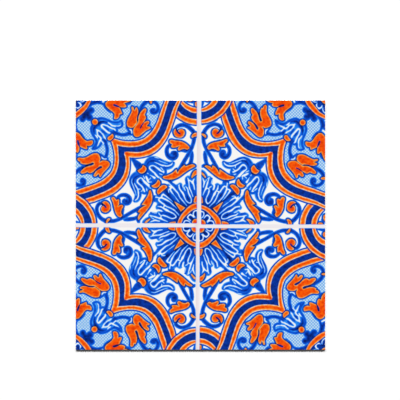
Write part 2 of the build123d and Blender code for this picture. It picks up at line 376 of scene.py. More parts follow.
brushLines += [
    # beside the rings
    [(-1, 60.5, .4), (2, 60.8, .4), (4.5, 61.2, .4), (7, 62, .4), (9.5, 63.2, .3)],
    [(.4, 71.6, .6), (.8, 73.2, 1), (1, 75, 1.4), (1.2, 78, 1.6)],
    flip([(.4, 74.4, 1.4), (1.6, 74.2, 1.2), (2.4, 73.8, .8)]),
    # heavier side of an outline
    [(55.6, 48.6, .7), (56.8, 48.2, .8), (58, 48.8, .7)],
    [(44.5, 9.6, .9), (44.3, 8, 1.2), (44.1, 6.4, 1.7), (44.7, 5, 1.7)],
    [(5, 45.1, 1.2), (6.6, 45, 1.3), (8.2, 44.5, 1)],
    [(39.9, 74, .9), (40.8, 73.1, 1.1), (42, 72.7, .8)], flip([(39.9, 74, .9), (40.8, 73.1, 1.1),
     (42, 72.7, .8)]),
]

# bare glaze lines beside the strokes
whiteLines = [
    [(39.3, 54.8, .5), (39.1, 56, .6), (39.7, 57.1, .6), (40.4, 57.6, .4)],
    flip([(39.2, 55, .5), (39.2, 56.2, .7), (39.9, 57, .7), (40.5, 57.3, .4)]),
    [(56, 76.5, .9), (56.4, 75, .8), (57.1, 73.9, .4)],
    [(73.9, 57.1, .4), (75, 56.2, .8), (76.5, 55.9, .9)],
    [(44.4, 15.2, .3), (44.7, 13.4, .6), (44.4, 11.9, .3)],
    [(48.8, 56.4, .6), (49.6, 57.2, .6), (50.3, 57.9, .5)],
    [(57.6, 50.2, .5), (57.1, 49.7, .5), (56.6, 49.3, .3)],
    [(25.1, 14.2, .5), (24.9, 13, 1.1), (24.1, 12.2, .8)],
    [(6.7, 27, .3), (6.4, 25.4, .6), (6, 24.2, .4)], [(39.6, 22.6, .2), (40, 24, .4), (40.2, 25.4, .2)],
    [(19.3, 33.6, .2), (19.8, 32.9, .4), (20.4, 32.6, .2)],
    [(6.6, 58.5, .5), (8.4, 59, .7), (10.2, 58.4, .7), (11.1, 57.5, .5)],
    [(7.6, 51.3, .3), (10, 51.6, .5), (12.8, 52.1, .5), (14.3, 52.8, .4)],
    flip([(7, 57.9, .5), (8.8, 58.2, .5), (10.4, 58, .4), (11.4, 57.4, .3)]),
    flip([(7.8, 51.2, .3), (10.2, 51.5, .5), (13, 52, .5), (14.6, 52.7, .4)]),
]

# orange motifs, closed outlines; each gets a cobalt outline under it
leafUpper = [
    (2, 35.1), (3.2, 35.5), (4.8, 35), (5.7, 34.5), (6.3, 33.7, 1), (6.9, 35.5, 1), (8.1, 34.8),
    (9.3, 33.6), (10.2, 32.2), (11, 30.5, 1), (11.2, 33.2, 1), (12.6, 32.2), (14.2, 31.1), (16, 29.9),
    (18.2, 28.9), (19.8, 28.6), (20.1, 27.9), (18.4, 27.1), (16.2, 26.7), (14, 26.8), (11.9, 27.4),
    (9.8, 28.6), (7.6, 30.3), (5.4, 32.2), (3.4, 33.9)]
leafLower = flip([
    (.5, 34.9), (1.8, 35.9), (3.2, 35.8), (4.8, 35.3), (6.4, 34.7, 1), (7.1, 35.7, 1), (8.3, 34.6),
    (9.6, 33.3), (10.8, 31.7), (11.4, 30.7, 1), (12, 33, 1), (13.2, 31.7), (14.6, 30.6), (16.2, 29.8),
    (18, 29), (19.8, 28.7), (20.3, 28), (19.4, 27.2), (17.5, 26.8), (15.5, 26.7), (13.5, 27), (11.5, 27.8),
    (9.6, 28.9), (7.7, 30.4), (5.6, 31.9), (3.4, 33.2), (1.6, 34.2)])
orangeShapes = [
    leafUpper, leafLower,
    [(-1, 31.7, 1), (.3, 31.3), (1.4, 30.5), (2.3, 29.3), (2.8, 28.2), (2.5, 27.9), (1.7, 28.6), (.8, 29.6),
     (-1, 30.8, 1)],
    flip([(-1, 32.4, 1), (.5, 32.2), (1.6, 31.2), (2.4, 29.5), (2.8, 28), (2.4, 27.6), (1.5, 28.6),
          (.3, 29.4), (-1, 29.9, 1)]),
    # ticks on the axis scrolls
    [(-1, 54.9, 1), (.5, 55), (1.6, 54.7), (2.7, 54), (3, 53.2), (2.7, 52.4), (2.2, 52.6), (1.5, 53.3),
     (.5, 54), (-1, 54.3, 1)],
    flip([(-1, 55.3, 1), (.4, 55.2), (1.4, 54.8), (2.3, 53.9), (2.7, 52.7), (2.3, 52.2), (1.2, 52.8),
          (-1, 53.1, 1)]),
    # spiral buds
    [(12.8, 57.2, 1), (13.4, 55.8), (13.2, 54.6), (12.3, 53.4), (10.8, 52.5), (9.3, 52.3), (7.8, 53.1),
     (6.8, 54.4), (6.6, 55.8), (7.2, 57.2), (8.6, 58.1), (9.9, 57.7), (10.6, 56.8), (11, 55.9, 1),
     (12, 56.6)],
    flip([(12.8, 57.7, 1), (13.5, 56.4), (13.5, 54.9), (12.6, 53.2), (11.1, 52.3), (9.5, 52.2), (8, 52.9),
          (7.1, 54.2), (6.9, 55.6), (7.6, 56.9), (8.9, 57.5), (10.2, 57.2), (10.9, 56.2), (11.2, 55.8, 1),
          (11.9, 56.8)]),
    # notched leaves
    [(3.7, 46.4), (4.5, 47.9), (6, 48.9), (8, 49.6), (10.5, 50.1), (13, 50.8), (15, 51.6), (15.9, 51.2),
     (15.9, 50.2), (15.1, 49.4), (14.1, 48.6, 1), (14.6, 47.6), (14.4, 47.1), (13, 47), (11.6, 47),
     (10.2, 47.7, 1), (10.9, 46.6), (11.2, 45.4), (10.7, 44.6), (10, 44.5), (8.8, 45.2), (7.4, 45.7),
     (6, 45.7), (4.9, 45.1), (4.2, 45.4)],
    flip([(4, 46), (5, 47.6), (7, 49.1), (9.5, 50.1), (12.5, 50.4), (15.2, 50.9), (16.1, 50.3), (15.9, 49),
          (14.6, 48.2, 1), (15.1, 46.8), (14.5, 46.2), (12.5, 46.3), (10.6, 46.9), (9.9, 47.2, 1),
          (11, 45.8), (10.9, 44.7), (10.2, 44.4), (8.8, 45.1), (7, 45.5), (5.4, 45)]),
    # crescents and knots on the diagonal
    [(17.7, 23.1), (18.7, 23.7), (20.1, 23.6), (21.5, 22.7), (22.8, 21.3), (23.3, 19.9), (23, 18.4),
     (22.2, 17.6), (21.3, 18.4), (20.2, 19.8), (19, 21.2), (18, 22.3)],
    [(22.8, 27.3, 1), (22, 26.4), (21.6, 25), (21.9, 23.5), (22.8, 22.4), (24.1, 21.9), (25.5, 22.1),
     (26.7, 23.3, 1), (25.5, 23.8), (24.3, 24.6), (23.5, 25.8)],
    [(32.2, 35.7, 1), (31.1, 34.9), (30.4, 33.5), (30.7, 32), (31.8, 30.8), (33.4, 30.3), (34.6, 31),
     (35.5, 32.4, 1), (34.2, 32.9), (33.3, 34)],
    [(50.6, 53), (51.3, 53.9), (52.4, 53.8), (53.4, 52.5), (54.5, 51), (53.4, 50.4), (52.1, 50.6),
     (50.9, 51.7)],
    # rays of the middle rosette
    [(7.1, 9.3, 1), (13.4, 13.4, 1), (9.4, 6.6, 1)],
    [(-1, 12.4, 1), (.9, 12.6), (.9, 13.4), (.2, 16.4), (-1, 17, 1)],
    [(12.6, -1, 1), (12.6, 1.2), (13.6, 1.3), (16.4, .3), (17, -1, 1)],
    # tulips, upper half
    [(30.4, 69.9), (31.2, 70.5), (32.6, 69.5), (34.1, 67.6), (34.9, 65.4), (35.3, 63.6), (36.2, 62.3),
     (37.1, 62.8), (36.5, 64.6), (35.9, 67), (36.2, 69.4), (36.9, 70.8, 1), (37.5, 70.4, 1), (38.2, 71.9),
     (39.3, 72.4), (40, 71.5), (39.8, 69), (40.3, 67), (41.4, 65), (42.6, 62.4), (42.5, 60), (41, 58.9),
     (39, 58.4), (37.7, 58.9), (36, 58.6), (34.6, 58.9), (33, 60.9), (31.4, 62.8), (30.6, 64.6),
     (30.9, 65.7), (31.4, 66.4, 1), (30.7, 67.6)],
    [(28.6, 62), (29.1, 62.5), (30.5, 61.9), (32, 60.9), (33.2, 59.4), (33.9, 57.9), (34.4, 57.4),
     (34.9, 58.2), (35.2, 60.2), (36.6, 59.4), (38, 57.8), (38.3, 55.8), (37.8, 53.9), (36.6, 52.8),
     (35.2, 52.9), (33.4, 54.2), (31.4, 56.1), (29.6, 57.5), (28.2, 58.4), (28.6, 59), (29.7, 59.2, 1),
     (30, 59.7), (29.2, 60.5), (28.6, 61.2)],
    [(39, 79, 1), (39.5, 75.8), (40.8, 74.5), (42.5, 73.8), (43.7, 73.6, 1), (43.1, 72.4), (44.2, 71.5),
     (45.6, 71.3), (46.9, 71.2, 1), (46.2, 69.6), (45.4, 67.8), (45.4, 66.6), (46.6, 66.6), (47.5, 66.8, 1),
     (47.3, 65.2), (48, 63.6), (49.4, 63), (50.5, 63.4), (50.4, 64.8), (50.1, 66.4), (50.9, 68),
     (52.6, 69.7), (54.6, 71.2), (55.5, 73), (54.8, 74.9), (53, 76.5), (52.5, 79, 1)],
    [(27.3, 79, 1), (27.5, 74.6), (28, 73.9), (28.5, 74.6), (28.7, 79, 1)],
    # tulips, lower half
    *map(flip, [
        [(36.2, 63.2), (35.6, 64.8), (35.1, 66.8), (35.3, 68.7), (35.9, 70.3), (36.4, 70.8), (37, 70),
         (37.4, 68.8, 1), (37.9, 69.6), (38.4, 70.9), (39.1, 71.2), (39.4, 70.4), (39.1, 69), (39.5, 67.5),
         (40.6, 65.5), (41.8, 63.2), (42.2, 61.2), (41.8, 59.2), (40.6, 58.5), (39, 58.3), (37.9, 58.8),
         (36.8, 60.2), (35.8, 61.6)],
        [(30.4, 69.5), (31.2, 70.1), (32.6, 69.2), (34, 67.5), (34.9, 65.5), (35.2, 63.6), (35.2, 62.2),
         (36.2, 60.6), (37.6, 58.7), (38.3, 57), (38.2, 54.8), (37.4, 53.2), (36.1, 52.7), (34.7, 53.1),
         (32.8, 54.6), (30.8, 56.4), (29, 57.4), (27.8, 58.1), (28.2, 58.8), (29.7, 59.1, 1), (30, 59.7),
         (29, 60.7), (28.6, 61.8), (29.2, 62.5), (30.6, 62.1), (32, 61.4, 1), (31.2, 63), (30.6, 64.4),
         (30.9, 65.5), (31.4, 66.3, 1), (30.8, 67.6)],
        [(38, 79, 1), (38.2, 75.8), (40, 74.7), (42.4, 73.7), (43.8, 73.2, 1), (43, 72.3), (42.6, 71.3),
         (43.4, 70.8), (45, 70.8), (46.8, 71, 1), (46.3, 69.9), (45.6, 68.2), (45.1, 66.9), (46.7, 66.5, 1),
         (47, 65), (47.8, 64), (49, 63.6), (50, 63.9), (49.8, 65.2), (49.7, 66.5), (50.6, 67.9),
         (52.3, 69.1), (54, 70.4), (55.1, 71.8), (55.2, 73.3), (54.2, 74.6), (52.8, 76), (52.5, 79, 1)],
        [(26.8, 79, 1), (26.9, 74), (27.3, 73), (27.9, 73.2), (28.4, 75), (28.6, 79, 1)],
    ]),
    # inside the edge rings
    [(2.2, 76.5), (2.6, 75.3), (3.6, 74.8), (4.8, 75.1), (5.4, 76.2), (5.4, 79, 1), (2.2, 79, 1)],
    flip([(1.2, 76.5), (1.8, 75.2), (3.4, 74.5), (4.9, 74.8), (5.6, 76), (5.6, 79, 1), (1.2, 79, 1)]),
    flip([(-1, 74.6, 1), (.2, 74), (.6, 72.6), (.2, 71.4), (-1, 71, 1)]),
]
discs = [((61.9, 61.7), 1.75), ((0.1, -.1), 2.5), ((77.3, 77.3), 4.6)]
# round ends of the cobalt scrolls and the clover by the corner rosette
blobs = [
    ((13.3, 42.5), 1.5), ((42.4, 13.2), 1.6), ((25.6, 69.6), 1.2), ((69, 25.8), 1.2), ((63.7, 69.3), 1.9),
    ((64.4, 65.2), 1.9), ((68.9, 64), 1.9)]

# slits painted over the orange
slitLines = [
    [(31.4, 62, .8), (32.8, 60.6, 1.2), (33.7, 59.2, 1.5), (34.3, 57.9, 1.3)],
    [(35.1, 67.2, .9), (35.6, 65, 1.2), (36.3, 63.2, 1.2)],
    [(46.8, 71.1, .7), (48.6, 71.8, 1.5), (50.2, 72.2, 1.3)],
    [(11.7, 57.6, 1), (11, 56.2, 1.3), (10.3, 55.5, 1.2), (9.6, 55, .9)],
    *map(flip, [
        [(31.6, 61.8, .5), (32.8, 60.3, .7), (33.4, 59.2, .9), (33.9, 58.1, .8)],
        [(34.8, 68.6, .9), (35, 67, .9), (35.5, 65.3, 1), (35.8, 64.2, .7)],
        [(46.9, 71, .8), (48.6, 71.7, 1.4), (50, 72.2, 1.3)],
        [(12.2, 57.9, .9), (11.6, 56.4, 1.2), (10.8, 55.3, 1.2), (9.8, 54.6, 1)],
    ]),
]

# interlaced bands
bandUpper = [
    (13.3, 67.6, 3), (14, 65.4, 3), (14.8, 62.5, 3.2), (15.8, 60.1, 3.2), (16.8, 57.5, 3.3),
    (17.8, 55, 3.4), (19, 52.6, 3.5), (20.5, 50.1, 3.4), (22.4, 47.7, 3.2), (25.1, 45.2, 3),
    (27.7, 43.6, 2.8), (30.1, 42.6, 2.7), (33, 41.9, 2.5), (36, 41.6, 2.3), (39, 41.8, 2.4),
    (42, 42.3, 2.6)]
bandLower = [
    (9.5, 77.8, 1.9), (10.4, 74.9, 2), (11.5, 72.5, 2), (12.6, 70.1, 2.2), (13.4, 67.6, 2.5),
    (14.2, 65, 2.6), (15, 62.4, 2.5), (15.9, 59.9, 2.5), (16.8, 57.3, 2.5), (17.9, 54.8, 2.4),
    (19.1, 52.4, 2.6), (20.7, 50, 2.7), (22.6, 47.7, 3), (25.2, 45.4, 3.3), (27.8, 43.8, 3.3),
    (30.2, 42.8, 3.3), (33.1, 42, 3.2), (36, 41.7, 3.3), (39, 41.8, 3.4), (42.2, 42.1, 3.3)]
outerUpper = [
    (18.4, 74.4, 2.8), (19.1, 71.6, 2.9), (19.8, 69, 3.2), (20.5, 67.1, 3.2), (21.3, 64.7, 3.1),
    (22.2, 62.1, 3), (23.2, 59.7, 3), (24.4, 57.1, 3.2), (26.2, 54.5, 3.2), (28.4, 52.2, 2.9),
    (30.9, 50.3, 2.7), (34, 49.1, 2.6), (37, 48.5, 2.5), (40, 48.4, 2.4), (43.5, 48.7, 2.4),
    (47.1, 49.2, 2.9), (50, 50.1, 3)]
outerLower = [
    (17, 77.8, 2.2), (17.7, 75, 2.2), (18.6, 72.5, 2.2), (19.5, 70, 2.4), (20.3, 67.5, 2.6),
    (21.1, 65, 2.6), (22, 62.4, 2.6), (23, 59.8, 2.8), (24.3, 57.2, 3), (26, 54.6, 3.1), (28.4, 52.2, 3.4),
    (30.9, 50.3, 3.3), (34, 49, 3.4), (37, 48.4, 3.4), (40, 48.2, 3.4), (43.6, 48.4, 3.4), (47.1, 49, 3.4),
    (50, 50, 3.2)]


def withWidth(points, width):
    return [(p[0], p[1], width) for p in points]


navyEnd = [(28, 47.6), (31, 46.1), (34, 45.2), (37, 44.9), (40, 45.1), (43, 45.6), (46, 46.2)]
navyUpper = [
    (14, 75), (15.6, 70.6), (16.6, 67.6), (17.6, 64.6), (18.5, 62), (19.4, 59.8), (20.6, 57.3), (22, 54.8),
    (23.6, 52.2), (25.6, 49.7)] + navyEnd
navyLower = [
    (13.2, 78), (14.2, 75), (15.9, 70), (17.6, 65), (18.6, 62.4), (19.7, 60), (20.9, 57.5), (22.3, 55),
    (23.8, 52.4), (25.7, 49.8)] + navyEnd
stippleEdge = [(78, 78, 1), (17.4, 78, 1)]
stippleEdge += [p[:2] for p in outerUpper[:-1]] + [(50.3, 50.3, 1)]
stippleEdge += flip([p[:2] for p in outerLower[-2:0:-1]]) + [(78, 17, 1)]

# what crosses over and under, in the order that it is painted
ringLower = {
    "navy": [flip(withWidth([(-1, 65.3), (2, 65.7), (4.5, 66.9), (7, 68.6), (9, 70.4), (11, 72.4)], 4.6))],
    "orange": [flip([(-1, 61.8, 3.3), (2.6, 62.2, 3.3), (5.1, 62.9, 3.2), (7.6, 64.1, 3.1), (9.7, 65.3, 3),
                     (11.6, 67.1, 3)]),
               flip([(-1, 68.8, 3.2), (1.9, 69.2, 3.2), (3.9, 70, 2.9), (6, 71.2, 2.7), (7.6, 72.6, 2.3),
                     (9, 74.2, 2)])],
}
band = {
    "navy": [withWidth(navyUpper, 5.4), flip(withWidth(navyLower, 5.4))],
    "orange": [bandUpper, flip(bandLower), outerUpper, flip(outerLower)],
}
ringUpper = {
    "navy": [withWidth([(-1, 65.7), (2.5, 66.1), (5, 67), (7.5, 68.4), (9.6, 70.3), (11.3, 72.4),
                        (12.6, 75), (13.3, 78)], 5.2)],
    "orange": [[(-1, 62.2, 2.2), (2.5, 62.6, 2.4), (4.9, 63.4, 2.6), (7.4, 64.5, 2.7), (9.9, 66.2, 2.8),
                (12.5, 68.3, 3), (14.3, 70.7, 2.8), (16, 73, 2.8), (17, 75.4, 2.8), (17.8, 78, 2.8)],
               [(-1, 69.1, 1.8), (1.9, 69.6, 2.3), (3.9, 70.5, 2.6), (5.9, 71.8, 2.8), (7.4, 73.3, 3.1),
                (8.5, 75.2, 3.3), (9.2, 78, 3.3)]],
}

# the corners that the bands turn on, and the rings of the rosettes
kites = [[(42, 42, 1), (41.9, 43.4, 1), (43.5, 43.7, 1), (43.4, 41.9, 1)],
         [(50, 50, 1), (49.9, 51.5, 1), (51.5, 51.7, 1), (51.4, 49.9, 1)]]
rosettes = [[(-1, 10, 2), (0, 10.1, 2.3), (2.5, 9.2, 2.2), (4.8, 7.7, 2.4), (6.7, 5.8, 2.8), (8.6, 3.9, 3),
             (9.9, 1.7, 3.3), (10.4, 0, 3.4), (10.5, -1, 3.5)],
            [(63.6, 78, 2.6), (64.7, 75.5, 2.8), (66.1, 73.2, 3.1), (67.6, 71.2, 3.1), (69.3, 69.4, 3),
             (71.1, 67.5, 2.5), (73.1, 66.2, 2.2), (75.4, 65.1, 2.1), (78, 64.2, 2.1)]]


# a smooth line through the given points (centripetal Catmull-Rom); a corner mark breaks a closed one
def between(at, low, high, first, last):
    return ((high - at) * first + (at - low) * last) / (high - low)


def curveThrough(points, closed, step=brushwork["curveStep"]):
    knots = np.array([(*p, 0)[:3] for p in points], float)
    count = len(knots)
    corner = [closed and p[2] == 1 for p in knots]
    pieces = []
    for i in range(count if closed else count - 1):
        j = (i + 1) % count
        first, last = knots[i], knots[j]
        before = 2 * first - last if corner[i] or (not closed and i == 0) else knots[i - 1]
        isEnd = corner[j] or (not closed and i == count - 2)
        after = 2 * last - first if isEnd else knots[(i + 2) % count]
        row = [before, first, last, after]
        gaps = [max(np.hypot(*(row[k + 1] - row[k])[:2]), 1e-6) ** 0.5 for k in range(3)]
        t = np.cumsum([0, *gaps])
        steps = max(1, int(np.ceil(gaps[1] ** 2 / step)))
        at = (t[1] + gaps[1] * np.arange(steps) / steps)[:, None]
        row = [between(at, t[k], t[k + 1], row[k], row[k + 1]) for k in range(3)]
        row = [between(at, t[k], t[k + 2], row[k], row[k + 1]) for k in range(2)]
        pieces.append(between(at, t[1], t[2], row[0], row[1]))
    pieces.append(knots[:1] if closed else knots[-1:])
    return np.vstack(pieces)


# keeps only the points that the line needs
def thinned(line, sagitta=brushwork["sagitta"], longest=brushwork["longestEdge"]):
    kept = {0, len(line) - 1}
    spans = [(0, len(line) - 1)]
    while spans:
        low, high = spans.pop()
        if high - low < 2:
            continue
        chord = line[high] - line[low]
        inner = line[low + 1:high] - line[low]
        along = np.clip(inner @ chord / max(chord @ chord, 1e-9), 0, 1)
        off = np.linalg.norm(inner - along[:, None] * chord, axis=1)
        split = None
        if off.max() > sagitta:
            split = low + 1 + int(off.argmax())
        elif np.hypot(*chord[:2]) > longest:
            split = (low + high) // 2
        if split:
            kept.add(split)
            spans += [(low, split), (split, high)]
    return line[sorted(kept)]


def offsetLine(line, distance, closed):
    ahead = np.roll(line, -1, 0) if closed else np.vstack([line[1:], 2 * line[-1:] - line[-2:-1]])
    behind = np.roll(line, 1, 0) if closed else np.vstack([2 * line[:1] - line[1:2], line[:-1]])
    way = (ahead - behind)[:, :2]
    way /= np.maximum(np.linalg.norm(way, axis=1, keepdims=True), 1e-9)
    return line[:, :2] + np.c_[-way[:, 1], way[:, 0]] * np.reshape(distance, (-1, 1))


# how deep each point lies inside a shape: above 0 inside, below 0 outside
def segmentGaps(at, line):
    start, run = line[:-1], np.diff(line, axis=0)
    length = np.maximum((run[:, :2] ** 2).sum(1), 1e-9)
    apart = at[:, None, :] - start[None, :, :2]
    share = np.clip((apart * run[None, :, :2]).sum(2) / length, 0, 1)
    gap = np.linalg.norm(apart - share[..., None] * run[None, :, :2], axis=2)
    return gap, start[:, 2] + share * run[:, 2]


def strokeDepth(at, line):
    gap, width = segmentGaps(at, line)
    return (width / 2 - gap).max(1)


def outlineDepth(at, line):
    gap = segmentGaps(at, line)[0].min(1)
    x, y = at[:, :1], at[:, 1:2]
    ax, ay, bx, by = line[:-1, 0], line[:-1, 1], line[1:, 0], line[1:, 1]
    rise = np.where(by == ay, 1e-9, by - ay)
    crossed = ((ay > y) != (by > y)) & (x < ax + (y - ay) / rise * (bx - ax))
    return np.where(crossed.sum(1) % 2 == 1, gap, -gap)


# the loop round a stroke at one radius, with its round ends
def strokeLoop(fine, radius):
    left, right = [offsetLine(fine, side * radius, False) for side in (1, -1)]
    caps = []
    for last, before in ((-1, -2), (0, 1)):
        way = fine[last, :2] - fine[before, :2]
        turns = (60, 30, 0, -30, -60) if radius[last] > brushwork["roundEnd"] else (45, -45)
        angles = np.arctan2(way[1], way[0]) + np.radians(turns)
        caps.append(fine[last, :2] + radius[last] * np.c_[np.cos(angles), np.sin(angles)])
    return np.vstack([left, caps[0], right[::-1], caps[1]])


# a shape with the guide lines that the mesh follows, and the box that its ink stays in
def makeShape(points, closed, depths, leastRadius=0.08, margin=0.4):
    fine = curveThrough(points, closed)
    line = thinned(fine)
    if closed:
        turn = np.sign((fine[:-1, 0] * fine[1:, 1] - fine[1:, 0] * fine[:-1, 1]).sum())
        guides = [offsetLine(fine[:-1], turn * d, True) for d in depths]
    else:
        half = fine[:, 2] / 2
        inside = [d for d in depths if half.max() > d + leastRadius]
        guides = [strokeLoop(fine, np.maximum(half - d, 0)) for d in inside]
    guides = [np.vstack([g, g[:1]]) for g in guides]
    if not closed and half.max() > inside[-1] + brushwork["middleLine"]:
        guides.append(fine[:, :2])
    reach = (0 if closed else line[:, 2].max() / 2) - min(depths) + margin
    return {
        "depth": outlineDepth if closed else strokeDepth,
        "line": line,
        "low": line[:, :2].min(0) - reach,
        "high": line[:, :2].max(0) + reach,
        "guides": [thinned(g) for g in guides],
    }


soft = brushwork["edgeSoft"]
outlineWidth = brushwork["outline"]
# depths at which the mesh gets an edge, so that the ink ramps fall on its corners
guideDepths = {
    "wash": (-0.5, -0.05, 0.6),
    "stroke": (-0.6, -0.2, 0.3),
    "deep": (-0.2, 0.4),
    "bare": brushwork["bareDepths"],
    "edge": (-soft, soft),
    "orange": (-outlineWidth - 0.66, -outlineWidth - 0.1, -soft, soft, 0.9),
    "band": (-1.17, -0.6, -soft, soft, 0.6),
    "ring": (-brushwork["ringEdge"] - soft, -soft, soft, 0.6),
}


def strokes(lines, kind, spread=1):
    lines = [[(p[0], p[1], p[2] * spread) for p in line] for line in lines]
    return [makeShape(line, False, guideDepths[kind]) for line in lines]


def outlines(loops, kind):
    return [makeShape(loop, True, guideDepths[kind]) for loop in loops]


def circle(centre, radius, count=10):
    angles = np.arange(count) * 2 * np.pi / count
    return [(centre[0] + radius * np.cos(a), centre[1] + radius * np.sin(a)) for a in angles]


drawing = {
    "stipple": outlines([stippleEdge], "edge"),
    "washes": outlines(washes, "wash"),
    "paleWashes": outlines(paleWashes, "wash"),
    "fields": outlines(fields, "wash"),
    "deep": strokes(deepLines, "deep"),
    "pale": strokes(paleLines, "bare", brushwork["paleSpread"]),
    "brush": strokes(brushLines, "stroke") + outlines([circle(*d) for d in blobs], "stroke"),
    "white": strokes(whiteLines, "bare"),
    "orange": outlines(orangeShapes + [circle(*d) for d in discs], "orange"),
    "slits": strokes(slitLines, "edge"),
    "rosettes": strokes(rosettes, "ring"),
    "kites": outlines(kites, "band"),
}
for name, group in (("ringLower", ringLower), ("band", band), ("ringUpper", ringUpper)):
    drawing[name + "navy"] = strokes(group["navy"], "edge")
    drawing[name + "orange"] = strokes(group["orange"], "band")
print("drawing:", sum(len(g) for g in drawing.values()), "shapes")


# one flat triangulation of the printed face, with an edge along every brush edge
def clipped(line, low, high):
    start, run = line[:-1], np.diff(line, axis=0)
    safe = np.where(np.abs(run) < 1e-9, 1e-9, run)
    one, two = (low - start) / safe, (high - start) / safe
    enter = np.maximum(np.minimum(one, two).max(1), 0)
    leave = np.minimum(np.maximum(one, two).min(1), 1)
    kept = leave - enter > 1e-6
    ends = [start[kept] + run[kept] * t[kept, None] for t in (enter, leave)]
    return np.stack(ends, axis=1)


half = tileSheet["side"] / 2
core = half - tileSheet["cornerRadius"]
flat = half - tileSheet["dieRoll"]
flatRadius = tileSheet["cornerRadius"] - tileSheet["dieRoll"]
stops = np.array(brushwork["tileEdge"])
fade = brushwork["tileFade"]


def localOf(points, copy):
    apart = points - np.array(copy["corner"])
    return np.c_[apart @ np.array(copy["u"]), apart @ np.array(copy["v"])]


def sheetOf(points, copy):
    u, v = np.array(copy["u"]), np.array(copy["v"])
    return np.array(copy["corner"]) + points[..., :1] * u + points[..., 1:] * v


segments = []
for copy in tileCopies:
    low = stops - fade
    high = np.array([flat - np.dot(copy["corner"], copy[way]) for way in "uv"])
    lines = [g for group in drawing.values() for shape in group for g in shape["guides"]]
    for u, v in (stops - fade, stops + fade):
        lines.append(np.array([(u, low[1]), (u, high[1])]))
        lines.append(np.array([(low[0], v), (high[0], v)]))
    segments += [sheetOf(clipped(line, low, high), copy) for line in lines]

steps = int(np.ceil(2 * core / tileSheet["edgeStep"]))
sidePoints = [(x, -flat) for x in np.linspace(-core, core, steps + 1)]
cornerTurn = np.linspace(0, np.pi / 2, 5)[1:-1]
sidePoints += [(core + flatRadius * np.sin(a), -core - flatRadius * np.cos(a)) for a in cornerTurn]
outline = []
for turn in range(4):
    outline += sidePoints
    sidePoints = [(-y, x) for x, y in sidePoints]
outline = np.array(outline + outline[:1])
segments.append(np.stack([outline[:-1], outline[1:]], axis=1))

ends = np.vstack(segments)
beyond = np.linalg.norm(np.maximum(np.abs(ends) - core, 0), axis=2) > flatRadius + 1e-6
ends = np.round(ends[~beyond.any(1)].reshape(-1, 2), 2)
points, index = np.unique(ends, axis=0, return_inverse=True)
edges = np.unique(np.sort(index.reshape(-1, 2), axis=1), axis=0)
edges = edges[edges[:, 0] != edges[:, 1]]
print("print guides:", len(points), "points,", len(edges), "edges")
flatPoints, flatEdges, flatFaces = geometry.delaunay_2d_cdt(
    [Vector(p) for p in points], edges.tolist(), [], 0, 1e-4, False)[:3]
at = np.array(flatPoints)
faces = np.array(flatFaces)
print("printed face:", len(at), "points,", len(faces), "triangles")


# paints the tile in the order that a brush would, at every point of the face
def ramp(depth, low, high):
    share = np.clip((depth - low) / (high - low), 0, 1)
    return share * share * (3 - 2 * share)


farOut = -9.0  # depth of a point that is nowhere near a shape
inkNames = ("cobalt", "orange", "tone", "stipple", "joint")
inks = {name: np.zeros(len(at)) for name in inkNames}
place = np.full((len(at), 2), -99.0)  # off every tile until found on one
mask = np.zeros(len(at))
for copy in tileCopies:
    uv = localOf(at, copy)
    here = (uv >= stops - fade - 1e-3).all(1)
    place[here] = uv[here]
    mask[here] = np.prod([ramp(uv[here, i], stops[i] - fade, stops[i] + fade) for i in (0, 1)], axis=0)


def depthIn(shape):
    near = ((place > shape["low"]) & (place < shape["high"])).all(1)
    depth = np.full(len(at), farOut)
    if near.any():
        depth[near] = shape["depth"](place[near], shape["line"])
    return depth


def depthOf(group):
    return np.max([depthIn(shape) for shape in drawing[group]], axis=0)


def body(depth):
    return np.interp(depth, brushwork["bodyDepths"], brushwork["bodyInk"])


def washed(group):
    return np.interp(depthOf(group), brushwork["washDepths"], brushwork["washBody"])


def bareGlaze(group):
    left = np.interp(depthOf(group), brushwork["bareDepths"], (1, brushwork["bareInk"]))
    inks["cobalt"] *= left
    inks["stipple"] *= left


def addCobalt(ink):
    inks["cobalt"] = np.maximum(inks["cobalt"], ink)


def addRim(depth, depths, steps):
    addCobalt(np.where(depth > depths[0], np.interp(depth, depths, steps), 0))


def coverOrange(depth, toneEdge, toneFull, toneDepth, mitre=farOut):
    cover = ramp(np.maximum(depth, mitre) - brushwork["orangeInset"], -soft, soft)
    inside = np.maximum(depth, mitre + brushwork["mitreLift"])
    share = np.clip(inside / toneDepth, 0, 1) ** brushwork["toneCurve"]
    tone = toneEdge + (toneFull - toneEdge) * share
    inks["tone"] += (tone - inks["tone"]) * cover
    inks["orange"] = np.maximum(inks["orange"], cover)


def coverCobalt(depth, ink):
    cover = ramp(depth, -soft, soft)
    inks["orange"] *= 1 - cover
    inks["cobalt"] += (ink - inks["cobalt"]) * cover


def paintBand(name):
    coverCobalt(depthOf(name + "navy"), brushwork["navyInk"])
    depth = depthOf(name + "orange")
    inks["orange"] *= 1 - ramp(depth, *brushwork["lineDepths"][:2])
    addCobalt(np.interp(depth, brushwork["lineDepths"], brushwork["lineInk"]))
    mitre = depthOf("kites") if name == "band" else farOut
    coverOrange(depth, *brushwork["bandTone"], mitre)


